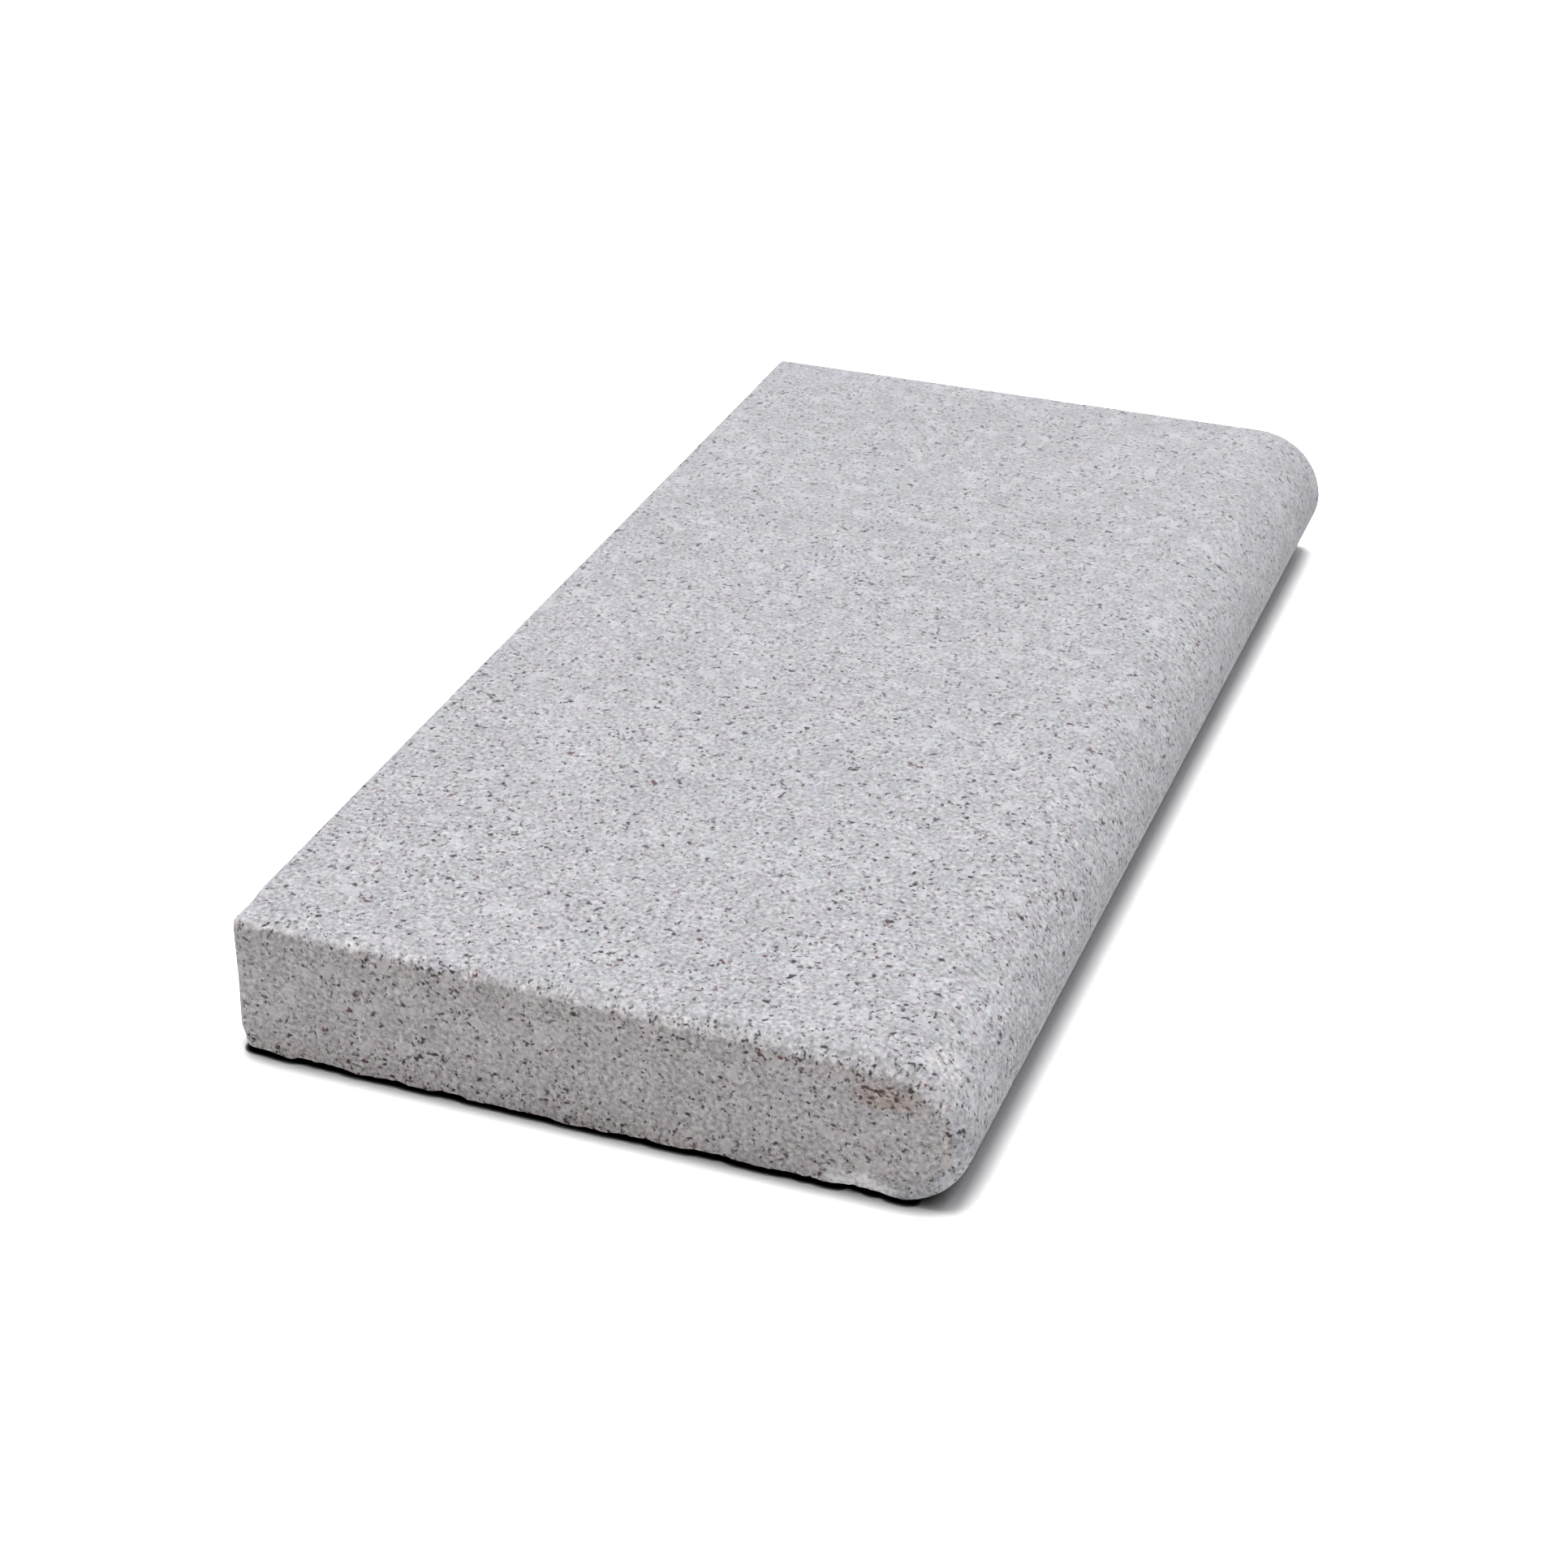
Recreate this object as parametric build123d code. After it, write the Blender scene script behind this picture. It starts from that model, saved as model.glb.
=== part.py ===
"""Granite pool coping stone: one sawn slab with a bullnose ground along its pool edge.

Millimetres. X runs from the back edge to the pool edge, Y along the pool edge and Z up from the
bed that lies in the mortar. The origin is the middle of the bed, under the middle of the stone.
"""

import os

from build123d import *

# Slab
LENGTH = 600.0  # along the pool edge
WIDTH = 300.0  # from the back face to the foremost line of the nose
THICKNESS = 62.0  # from the bed to the walking face

# Bullnose: two quarter ellipses that meet on the foremost line of the nose
NOSE_DEPTH = 34.0  # how far the rounding reaches in from the pool edge
NOSE_LINE = 28.0  # height of the foremost line above the bed

# Eased edges
END_ARRIS = 2.0  # radius round both sawn ends
BACK_ARRIS = 2.0  # radius along the upper edge of the back face
BED_ARRIS = 4.0  # radius along the lower edge of the back face

# Places that follow from the sizes above
BACK_X = -WIDTH / 2
NOSE_X = WIDTH / 2
NOSE_START_X = NOSE_X - NOSE_DEPTH  # where the flat faces run into the rounding
NOSE_RISE = THICKNESS - NOSE_LINE  # height of the upper quarter of the nose


def nose_quarter(rise, first_angle):
    """One quarter of the nose, turning from first_angle for a right angle about the nose's centre."""
    return EllipticalCenterArc((NOSE_START_X, NOSE_LINE), NOSE_DEPTH, rise, first_angle, arc_size=90)


def cross_section():
    """The stone's section across its length: three sawn sides and the rounded pool edge."""
    lower_quarter = nose_quarter(NOSE_LINE, 270)
    upper_quarter = nose_quarter(NOSE_RISE, 0)
    sawn_sides = Polyline(upper_quarter @ 1, (BACK_X, THICKNESS), (BACK_X, 0), lower_quarter @ 0)
    return Plane.XZ * make_face([lower_quarter, upper_quarter, sawn_sides])


def back_edge(stone, height):
    """The long edge of the back face at that height."""
    long_edges = stone.edges().filter_by(Axis.Y)
    return long_edges.filter_by_position(Axis.X, BACK_X, BACK_X).filter_by_position(Axis.Z, height, height)


def coping_stone():
    """The section drawn out to the stone's length, with its sawn edges eased."""
    stone = extrude(cross_section(), LENGTH / 2, both=True)
    stone = fillet(back_edge(stone, 0), BED_ARRIS)
    stone = fillet(back_edge(stone, THICKNESS), BACK_ARRIS)
    end_outlines = stone.faces().filter_by(Axis.Y).edges()
    return fillet(end_outlines, END_ARRIS)


os.makedirs("parts", exist_ok=True)
stone = coping_stone()
export_step(stone, "parts/coping_stone.step")
print("coping stone", stone.bounding_box().size, "volume", round(stone.volume))
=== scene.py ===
# %% [markdown]
# The object is one piece of stock: a pale grey granite coping stone, 600 by 300 by 62 mm, that caps the
# edge of a pool. Its top is roughened so that wet feet don't slip, and its pool edge is ground to a round
# nose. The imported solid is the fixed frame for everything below, so it is loaded first. Its box is kept,
# because nothing that is modelled here may grow out of it.

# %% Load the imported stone
import math

import bmesh
import bpy
import numpy as np
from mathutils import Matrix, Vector


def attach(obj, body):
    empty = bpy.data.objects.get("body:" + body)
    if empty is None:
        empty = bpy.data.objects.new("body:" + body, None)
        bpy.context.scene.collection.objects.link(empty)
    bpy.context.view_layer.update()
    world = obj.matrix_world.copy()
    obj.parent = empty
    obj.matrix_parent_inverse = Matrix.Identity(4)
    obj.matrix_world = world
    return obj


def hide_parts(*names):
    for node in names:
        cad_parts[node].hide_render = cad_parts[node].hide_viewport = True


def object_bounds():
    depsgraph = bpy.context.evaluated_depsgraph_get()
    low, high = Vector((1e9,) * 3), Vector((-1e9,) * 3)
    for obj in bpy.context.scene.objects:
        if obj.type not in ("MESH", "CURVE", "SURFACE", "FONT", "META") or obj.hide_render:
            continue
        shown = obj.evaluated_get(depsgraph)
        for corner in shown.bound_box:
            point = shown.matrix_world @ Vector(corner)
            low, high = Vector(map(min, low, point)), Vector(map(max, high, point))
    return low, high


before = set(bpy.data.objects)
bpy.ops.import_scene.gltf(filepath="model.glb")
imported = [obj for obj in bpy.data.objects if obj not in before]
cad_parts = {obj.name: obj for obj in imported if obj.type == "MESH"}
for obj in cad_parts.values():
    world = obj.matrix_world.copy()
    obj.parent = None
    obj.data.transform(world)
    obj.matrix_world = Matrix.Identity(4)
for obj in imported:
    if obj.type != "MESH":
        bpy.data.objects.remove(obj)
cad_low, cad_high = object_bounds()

MM = 0.001  # one millimetre in Blender's metres
print("packed stone, mm:", [round(side / MM, 1) for side in cad_high - cad_low])

# %% [markdown]
# The camera comes before the stone, because it says how fine each surface has to be. A camera could be
# placed by eye until the outlines agree. Here it was reckoned from the stone's corners, once the size of
# the stone was settled, which gives the eye's place, two angles and the lens. With no roll, a heading and
# a downward tilt are all the turning that it needs.

# %% Camera
EYE = Vector((395.0, -1135.3, 693.4)) * MM
HEADING = math.radians(-20.74)  # to the left of straight along the stone
DOWNWARD = math.radians(30.39)
LENS_MM = 69.1
SENSOR_MM = 36.0

level = math.cos(DOWNWARD)
ahead = Vector((math.sin(HEADING) * level, math.cos(HEADING) * level, -math.sin(DOWNWARD)))
camera = bpy.data.objects.new("camera", bpy.data.cameras.new("camera"))
camera.data.lens = LENS_MM
camera.data.sensor_width = SENSOR_MM
camera.location = EYE
camera.rotation_euler = ahead.to_track_quat("-Z", "Y").to_euler()
bpy.context.scene.collection.objects.link(camera)
bpy.context.scene.camera = camera
print("eye to stone, mm:", round((EYE - (cad_low + cad_high) / 2).length / MM))

# %% [markdown]
# The stone's section has three sawn sides and a nose of two quarter ellipses that meet on the foremost
# line. A solid can be cut from a cube with booleans, but that leaves long thin faces that can't be worn
# or chipped. So the section's outline is sampled instead, at even steps, as four runs that meet at four
# corners: bed, walking face, back and the front of the nose. The two runs that end on the nose take half
# of each quarter with them, which keeps the quads square all the way round.

# %% Section of the stone
BACK_X, NEAR_Y, BED_Z = cad_low
NOSE_X, FAR_Y, TOP_Z = cad_high
NOSE_DEPTH = 34.0 * MM
NOSE_LINE = 28.0 * MM  # height of the foremost line above the bed
NOSE_START_X = NOSE_X - NOSE_DEPTH
HALF_QUARTER = math.pi / 4  # the share of each quarter that the front of the nose keeps

STEPS_ACROSS = 62  # from the back edge to the middle of a quarter of the nose
STEPS_UP = 12
STEPS_ALONG = 126


def on_nose(angle):
    """Points of the section on the nose, at an angle up from the foremost line."""
    quarter = np.where(angle > 0, TOP_Z - NOSE_LINE, NOSE_LINE)
    forward = NOSE_START_X + NOSE_DEPTH * np.cos(angle)
    return np.stack([forward, NOSE_LINE + quarter * np.sin(angle)], axis=-1)


def flat_then_nose(height, turn):
    """The walking face or the bed from the back edge, and on over half a quarter of the nose."""
    flat = NOSE_START_X - BACK_X
    shoulder = NOSE_DEPTH * HALF_QUARTER
    travel = np.linspace(0, flat + shoulder, STEPS_ACROSS + 1)
    straight = np.stack([BACK_X + travel, np.full_like(travel, height)], axis=-1)
    bend = on_nose(turn * (math.pi / 2 - np.maximum(travel - flat, 0) / NOSE_DEPTH))
    return np.where(travel[:, None] <= flat, straight, bend)


walking_run = flat_then_nose(TOP_Z, 1)
bed_run = flat_then_nose(BED_Z, -1)
back_run = np.stack([np.full(STEPS_UP + 1, BACK_X), np.linspace(BED_Z, TOP_Z, STEPS_UP + 1)], axis=-1)
nose_run = on_nose(np.linspace(-HALF_QUARTER, HALF_QUARTER, STEPS_UP + 1))
print("points round the section:", 2 * (STEPS_ACROSS + STEPS_UP))

# %% [markdown]
# The four runs drawn along the stone give its sides. Each end needs a grid of its own whose rim fits the
# four runs point for point. One many-sided face would close an end, but it couldn't be chipped. A Coons
# patch fits: it blends the two runs across, blends the two runs up, adds them and takes the corners away
# once. The six grids are then welded into one closed skin.

# %% Block of six welded grids
along = np.linspace(NEAR_Y, FAR_Y, STEPS_ALONG + 1)


def side_grid(run):
    """One run of the section drawn along the stone."""
    grid = np.empty((len(run), len(along), 3))
    grid[:, :, [0, 2]] = run[:, None, :]
    grid[:, :, 1] = along
    return grid


def end_grid(place):
    """The section filled with quads, at that place along the stone."""
    across = np.linspace(0, 1, STEPS_ACROSS + 1)[:, None, None]
    up = np.linspace(0, 1, STEPS_UP + 1)[None, :, None]
    blend_up = (1 - up) * bed_run[:, None] + up * walking_run[:, None]
    blend_across = (1 - across) * back_run[None] + across * nose_run[None]
    corners = (1 - across) * ((1 - up) * bed_run[0] + up * walking_run[0])
    corners = corners + across * ((1 - up) * bed_run[-1] + up * walking_run[-1])
    grid = np.full((STEPS_ACROSS + 1, STEPS_UP + 1, 3), place)
    grid[:, :, [0, 2]] = blend_up + blend_across - corners
    return grid


WELD = 0.001 * MM
block = bmesh.new()
grids = [side_grid(run) for run in (walking_run, bed_run, back_run, nose_run)]
grids += [end_grid(NEAR_Y), end_grid(FAR_Y)]
for grid in grids:
    corners = [[block.verts.new(point) for point in row] for row in grid]
    for row, next_row in zip(corners, corners[1:]):
        for a, b, c, d in zip(row, row[1:], next_row[1:], next_row):
            block.faces.new((a, b, c, d))
bmesh.ops.remove_doubles(block, verts=block.verts, dist=WELD)
bmesh.ops.recalc_face_normals(block, faces=block.faces)
print("block:", len(block.verts), "points,", len(block.faces), "quads")

# %% [markdown]
# All wear on a stone starts from its outside, so the first thing to know about a point is how deep it
# lies below each face. A search for the nearest face of the mesh would tell, but slowly. The faces are
# so plain that a formula does it for all points at once. Top, bed and nose count as one face here, the
# rim of the section, because they run into each other without an arris.

# %% Depths below the faces of the block
TINY = 1e-6  # keeps a division from failing, and in metres tells a face from what lies above it


def depth_in_section(x, z):
    """How deep a point lies below the walking face, the bed or the nose, whichever is nearest."""
    from_line = z - NOSE_LINE
    quarter = np.where(from_line > 0, TOP_Z - NOSE_LINE, NOSE_LINE)
    run = np.maximum(x - NOSE_START_X, 0) / NOSE_DEPTH
    lift = np.maximum(np.abs(from_line) / quarter, TINY)
    reach = np.hypot(run, lift)
    return (1 - reach) * reach / np.hypot(run / NOSE_DEPTH, lift / quarter)


def depths(points):
    """Depth below the section's rim, the back, the near end and the far end."""
    x, y, z = points.T
    return depth_in_section(x, z), x - BACK_X, y - NEAR_Y, FAR_Y - y


stone_middle = np.array([[0.0, 0.0, NOSE_LINE]])
print("depths at the middle, mm:", [round(float(depth[0] / MM), 1) for depth in depths(stone_middle)])

# %% [markdown]
# Chips and worn arrises are a millimetre or two across, so the quads there have to be smaller than that.
# Quads that small all over would run to millions. Instead the block is divided three times, each time
# only where the stone needs it: first every side but the middle of the bed, then a strip along each
# arris, and last a narrow strip round the near end, which stands closest to the eye.

# %% Smaller quads where the stone is worn
BED_MARGIN = 16 * MM  # strip of the bed that shows past a chipped edge
ARRIS_STRIP = 5 * MM
NEAR_STRIP = 9 * MM
NEAR_RIM = 4.5 * MM
NEAR_TOP_RIM = 5.5 * MM


def middles(edges):
    """The middle point of each edge of the block."""
    ends = np.array([(*edge.verts[0].co, *edge.verts[1].co) for edge in edges])
    return (ends[:, :3] + ends[:, 3:]) / 2


def needs_first_cut(points):
    """Everything but the middle of the bed."""
    from_edge = np.min(depths(points)[1:], axis=0)
    return (points[:, 2] > BED_Z + TINY) | (from_edge < BED_MARGIN)


def needs_second_cut(points):
    """A strip along each arris, wider at the near end."""
    rim, back, near, far = depths(points)
    side = np.minimum(rim, back)
    return (side + near < NEAR_STRIP) | (side + far < ARRIS_STRIP) | (rim + back < ARRIS_STRIP)


def needs_third_cut(points):
    """The rim of the near end."""
    rim, back, near, _ = depths(points)
    strip = np.where(points[:, 2] > NOSE_LINE, NEAR_TOP_RIM, NEAR_RIM)
    return np.minimum(rim, back) + near < strip


for needs_cut in (needs_first_cut, needs_second_cut, needs_third_cut):
    edges = list(block.edges)
    chosen = needs_cut(middles(edges))
    picked = [edge for edge, pick in zip(edges, chosen) if pick]
    bmesh.ops.subdivide_edges(
        block, edges=picked, cuts=1, use_grid_fill=True, quad_corner_type="INNER_VERT"
    )
    print(needs_cut.__name__, len(picked), "edges cut,", len(block.faces), "faces")

# %% [markdown]
# Broken stone is lumpy at every scale, and the lumps have to be the same on each run. Blender's noise
# could be asked point by point, but an array is much quicker: a block of seeded random values is read
# with soft steps between its cells. Nearby points get nearby values, from 0 to 1. Each pattern below is
# a size and a seed.

# %% Lumps
LUMP_CELLS = 64
TRIAL_POINTS = 1000
TRIAL_LUMPS = (10 * MM, 1)


def soft(share):
    """A share from 0 to 1 that starts and ends gently."""
    return share * share * (3 - 2 * share)


def soft_step(value, low, high):
    """0 below low, 1 above high and a soft rise between them. With low above high, it falls instead."""
    return soft(np.clip((value - low) / (high - low), 0, 1))


def between(first, second, share):
    """The first value where the share is 0, and the second where it is 1."""
    return first + (second - first) * share


def lumps(points, size, seed):
    """Soft random values from 0 to 1 that change over about that size."""
    values = np.random.default_rng(seed).random((LUMP_CELLS,) * 3)
    scaled = points / size
    cell = np.floor(scaled).astype(int)
    part = soft(scaled - cell)
    total = np.zeros(len(points))
    for corner in np.ndindex(2, 2, 2):
        weight = np.prod(np.where(corner, part, 1 - part), axis=1)
        i, j, k = ((cell + corner) % LUMP_CELLS).T
        total += weight * values[i, j, k]
    return total


trial = lumps(np.random.default_rng(1).random((TRIAL_POINTS, 3)), *TRIAL_LUMPS)
print("lumps from", round(trial.min(), 2), "to", round(trial.max(), 2))

# %% [markdown]
# The saw leaves sharp arrises, and handling takes them off. A bevel would give one even radius, but here
# the near end is worn by 3 mm at its back corner and by ever more towards the nose, its foot is knocked
# off at the back corner, and the far end is hardly worn at all. So the radius is worked out for each
# place. It goes into a function of place that is below zero inside the stone and above zero outside it,
# in which faces that meet are joined by a rounding.

# %% Radius of the arrises
PLAIN_ARRIS = 1.5 * MM
NEAR_TOP_ARRIS = 3.2 * MM  # at the back corner
NEAR_TOP_UNEVEN = 0.9 * MM
UNEVEN_LUMPS = (10 * MM, 2)
NEAR_FOOT_ARRIS = 1.0 * MM  # before the foot is torn
UPPER_NOSE_ARRIS = 8.5 * MM
LOWER_NOSE_ARRIS = 2.0 * MM
BACK_BED_ARRIS = 3.0 * MM
FOOT_CORNER_ARRIS = 4.5 * MM
# Each pair of distances says where a kind of wear starts and where it is full
NEAR_WEAR = (30 * MM, 12 * MM)  # from the near end
NOSE_WEAR = (-25 * MM, 20 * MM)  # from the start of the nose
TOP_WEAR = (12 * MM, 40 * MM)  # up the near end
UPPER_NOSE_WEAR = (2 * MM, 24 * MM)  # up the nose
BACK_FOOT_IN = (22 * MM, 8 * MM)  # from the back
BACK_FOOT_UP = (13 * MM, 5 * MM)  # from the bed


def across_flat(points):
    """0 at the back edge, rising to 1 where the nose starts."""
    return np.clip((points[:, 0] - BACK_X) / (NOSE_START_X - BACK_X), 0, 1)


def arris_radius(points):
    """The radius that wear has given to the nearest arris."""
    x, y, z = points.T
    at_near_end = soft_step(y - NEAR_Y, *NEAR_WEAR)
    uneven = between(-NEAR_TOP_UNEVEN, NEAR_TOP_UNEVEN, lumps(points, *UNEVEN_LUMPS))
    top_radius = between(NEAR_TOP_ARRIS, UPPER_NOSE_ARRIS, across_flat(points)) + uneven
    end_radius = between(NEAR_FOOT_ARRIS, top_radius, soft_step(z, *TOP_WEAR))
    nose_radius = between(LOWER_NOSE_ARRIS, UPPER_NOSE_ARRIS, soft_step(z, *UPPER_NOSE_WEAR))
    near_radius = between(end_radius, nose_radius, soft_step(x - NOSE_START_X, *NOSE_WEAR))
    radius = between(PLAIN_ARRIS, near_radius, at_near_end)
    foot_radius = between(BACK_BED_ARRIS, FOOT_CORNER_ARRIS, at_near_end)
    at_back_foot = soft_step(x - BACK_X, *BACK_FOOT_IN) * soft_step(z, *BACK_FOOT_UP)
    return between(radius, foot_radius, at_back_foot)


def eased_block(points):
    """The sawn block with its arrises rounded: below zero inside."""
    radius = arris_radius(points)
    past_rounding = radius - np.array(depths(points))
    corner = np.sqrt((np.maximum(past_rounding, 0) ** 2).sum(axis=0))
    return np.minimum(past_rounding.max(axis=0), 0) + corner - radius


near_end = np.array([vert.co for vert in block.verts if vert.co.y < NEAR_Y + TINY])
near_radii = arris_radius(near_end) / MM
print("radii at the near end, mm:", round(near_radii.min(), 1), "to", round(near_radii.max(), 1))

# %% [markdown]
# Along the bed the saw breaks out, and flakes are torn off the lower edges of both ends and the back.
# Cutting single chips with booleans would look repeated. A torn edge is closer to a rough bevel: it
# starts at an uneven height on the face and runs under the stone at a low slope. The stone then stands a
# little clear of the ground at its rim, which is what makes the dark line under it.

# %% Torn lower edges
TEAR_LOW = 0.3 * MM
TEAR_LEAST = 0.15 * MM
NEAR_TEAR_LOW, NEAR_TEAR_HIGH = -0.9 * MM, 1.0 * MM  # at the back corner and by the nose
TEAR_WAVES = (  # height and length
    (0.9 * MM, 30 * MM),
    (1.4 * MM, 12 * MM),
    (0.8 * MM, 4.5 * MM),
    (0.3 * MM, 2 * MM),
)
TEAR_BITE = (0.3, 0.7)  # lumps below the first tear nothing, and past the second they tear fully
TEAR_SQUEEZE = (1, 1, 0.35)  # lumps change less with height, so that a tear is drawn out upwards
TEAR_END = (24 * MM, 2 * MM)  # past the start of the nose: where tears have ended, and where they are full
TEAR_SLOPE = math.radians(26)
NEAR_TEAR, FAR_TEAR, BACK_TEAR = 21, 31, 41  # seeds of the first wave, and the others count on from it
FOOT_SAMPLES = 400


def torn_edge(points, inward, seed, start=TEAR_LOW):
    """A rough bevel along the bed's rim, above zero where stone is torn away."""
    height = start
    for number, (tall, length) in enumerate(TEAR_WAVES):
        wave = lumps(points * TEAR_SQUEEZE, length, seed + number)
        height = height + tall * soft_step(wave, *TEAR_BITE)
    height = np.maximum(height, TEAR_LEAST)
    height = height * soft_step(points[:, 0] - NOSE_START_X, *TEAR_END)
    below = height - (points[:, 2] - BED_Z) - math.tan(TEAR_SLOPE) * inward
    return below * math.cos(TEAR_SLOPE)


def near_tear(points, inward):
    """The torn foot of the near end, which is higher towards the nose."""
    start = between(NEAR_TEAR_LOW, NEAR_TEAR_HIGH, across_flat(points))
    return torn_edge(points, inward, NEAR_TEAR, start)


foot = np.array([[x, NEAR_Y, BED_Z] for x in np.linspace(BACK_X, NOSE_START_X, FOOT_SAMPLES)])
foot_heights = near_tear(foot, np.zeros(FOOT_SAMPLES)) / math.cos(TEAR_SLOPE) / MM
print("near foot torn, mm:", round(foot_heights.min(), 1), "to", round(foot_heights.max(), 1))

# %% [markdown]
# Next is the relief of the faces. The walking face and the nose are roughened, so they are pitted all
# over, very finely. The sawn ends are nearly flat, and the bed is left rough. Worn arrises break out
# grain by grain and are the roughest. Bump alone would leave the outline smooth, so the relief is worked
# out here in millimetres and carved. All of it only takes stone away, so the stone stays inside its box.

# %% Relief of the faces
ROUGHENED_RELIEF = 0.22 * MM
SAWN_RELIEF = 0.10 * MM
BED_RELIEF = 0.5 * MM
ARRIS_BREAKS = 1.1 * MM  # on the upper arris of the near end
PLAIN_BREAKS = 0.25 * MM
FACE_LUMPS, FACE_PITS = (6 * MM, 11), (2.6 * MM, 12)
BREAK_LUMPS, BREAK_CRUMBS = (4.2 * MM, 13), (2.4 * MM, 14)
LUMP_SHARE, BREAK_SHARE = 0.6, 0.7  # pits and crumbs make up the rest
# Each pair of distances says where a relief starts and where it is full
SAWN_START = (1 * MM, -1 * MM)  # how much closer the section's rim is than a sawn face
BED_START = (3 * MM, 0.5 * MM)  # from the bed
NEAR_ARRIS_START = (6.5 * MM, 1 * MM)  # from the arris
NEAR_ARRIS_HEIGHT = (24 * MM, 44 * MM)
PLAIN_ARRIS_START = (4 * MM, 0.5 * MM)


def relief(points):
    """How far the pits and broken grains reach in from the eased block."""
    rim, back, near, far = (np.maximum(depth, 0) for depth in depths(points))
    end = np.minimum(near, far)
    height = points[:, 2]
    sawn = soft_step(np.minimum(end, back) - rim, *SAWN_START)
    face = between(ROUGHENED_RELIEF, SAWN_RELIEF, sawn)
    face = between(face, BED_RELIEF, soft_step(height - BED_Z, *BED_START))
    pitted = face * between(lumps(points, *FACE_PITS), lumps(points, *FACE_LUMPS), LUMP_SHARE)
    near_arris = soft_step(rim + near, *NEAR_ARRIS_START) * soft_step(height, *NEAR_ARRIS_HEIGHT)
    from_arris = np.minimum(np.minimum(rim, back) + end, rim + back)
    plain_arris = soft_step(from_arris, *PLAIN_ARRIS_START)
    broken = between(lumps(points, *BREAK_CRUMBS), lumps(points, *BREAK_LUMPS) ** 2, BREAK_SHARE)
    return pitted + broken * np.maximum(ARRIS_BREAKS * near_arris, PLAIN_BREAKS * plain_arris)


print("mean relief at the near end, mm:", round(float(relief(near_end).mean() / MM), 3))

# %% [markdown]
# The worn stone is all of this together: the eased block, less its torn edges, less its relief. Three
# meshes could be cut from each other for that, but functions of place are easier to join. The larger of
# two of them keeps only what is inside both, and adding a depth to one moves its surface inwards.

# %% Worn stone as one function
def worn_stone(points):
    """The whole worn stone as one function of place: below zero inside, above zero outside."""
    _, back, near, far = depths(points)
    worn = np.maximum(eased_block(points), near_tear(points, near))
    worn = np.maximum(worn, torn_edge(points, far, FAR_TEAR))
    worn = np.maximum(worn, torn_edge(points, back, BACK_TEAR))
    return worn + relief(points)


print("middle of the stone:", round(float(worn_stone(stone_middle)[0] / MM), 1), "mm")

# %% [markdown]
# To carve the block, each of its points slides along the steepest way of that function until the
# function is zero there. A few steps are enough, because the block starts close to the worn stone. A
# remesh of the function would also give the surface, but its quads would follow no arris. Sliding keeps
# every quad of the block, so the carved stone is as closed as the block was.

# %% Carve the stone
CARVING_STEPS = 8
PROBE = 0.05 * MM  # distance over which the slope is measured
CLOSE_ENOUGH = 0.005 * MM
LEAST_STEEP = 0.25  # keeps a step from getting too long where the function is nearly level


def slope_of_stone(here, value):
    """The slope of the function at some points, given its value there. It points outwards."""
    return np.stack([worn_stone(here + PROBE * axis) - value for axis in np.eye(3)], axis=-1) / PROBE


def carve(points, moving):
    """Slides the chosen points to where the function is zero, and says how many were last to move."""
    for _ in range(CARVING_STEPS):
        here = points[moving]
        value = worn_stone(here)
        slope = slope_of_stone(here, value)
        steep = np.maximum((slope**2).sum(axis=1), LEAST_STEEP)
        points[moving] = here - (value / steep)[:, None] * slope
        moving = moving[np.abs(value) > CLOSE_ENOUGH]
        if len(moving) == 0:
            break
    return len(moving)


sawn_points = np.array([vert.co for vert in block.verts])
points = sawn_points.copy()
print("carved", len(points), "points, last to move:", carve(points, np.arange(len(points))))

# %% [markdown]
# Where much is taken away, some points slide past each other, and a few tiny quads are left folded over.
# Smoothing the mesh would unfold them, but it would also wear the stone down. So each point that was
# carved deeply moves towards the middle of its neighbours along the surface only, and is carved again. A
# few rounds of that lay the quads out flat.

# %% Lay the quads out flat
EVENING_ROUNDS = 7
EVENING_SHARE = 0.5  # how far of the way to that middle a point moves in a round
DEEPLY_CARVED = 0.3 * MM

block.verts.index_update()
joined = np.array([[vert.index for vert in edge.verts] for edge in block.edges])
joined = np.concatenate([joined, joined[:, ::-1]])
neighbours = np.bincount(joined[:, 0])[:, None]
deep = np.flatnonzero(np.linalg.norm(points - sawn_points, axis=1) > DEEPLY_CARVED)
for _ in range(EVENING_ROUNDS):
    middle = np.zeros_like(points)
    np.add.at(middle, joined[:, 0], points[joined[:, 1]])
    drift = (middle / neighbours - points)[deep]
    slope = slope_of_stone(points[deep], worn_stone(points[deep]))
    outward = slope / np.linalg.norm(slope, axis=1)[:, None]
    drift = drift - (drift * outward).sum(axis=1)[:, None] * outward
    points[deep] = points[deep] + EVENING_SHARE * drift
    print("evened", len(deep), "points, last to move:", carve(points, deep))
points = np.clip(points, np.array(cad_low), np.array(cad_high))
for vert, point in zip(block.verts, points):
    vert.co = point

# %% [markdown]
# The carved block becomes one mesh object, the whole stone. Its faces are shaded smooth, since the edges
# that show are carved and not shaded. It stands for the imported solid of the same stone, which is hidden,
# rides on the same body and takes one material.

# %% Stone as a piece of the frame
stone_mesh = bpy.data.meshes.new("granite_coping")
block.to_mesh(stone_mesh)
block.free()
stone_mesh.polygons.foreach_set("use_smooth", np.ones(len(stone_mesh.polygons), dtype=bool))
stone_mesh.update()
stone = bpy.data.objects.new("granite_coping", stone_mesh)
bpy.context.scene.collection.objects.link(stone)
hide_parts("coping_stone")
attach(stone, "root")
print("stone:", sum(len(face.vertices) - 2 for face in stone_mesh.polygons), "triangles")

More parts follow.
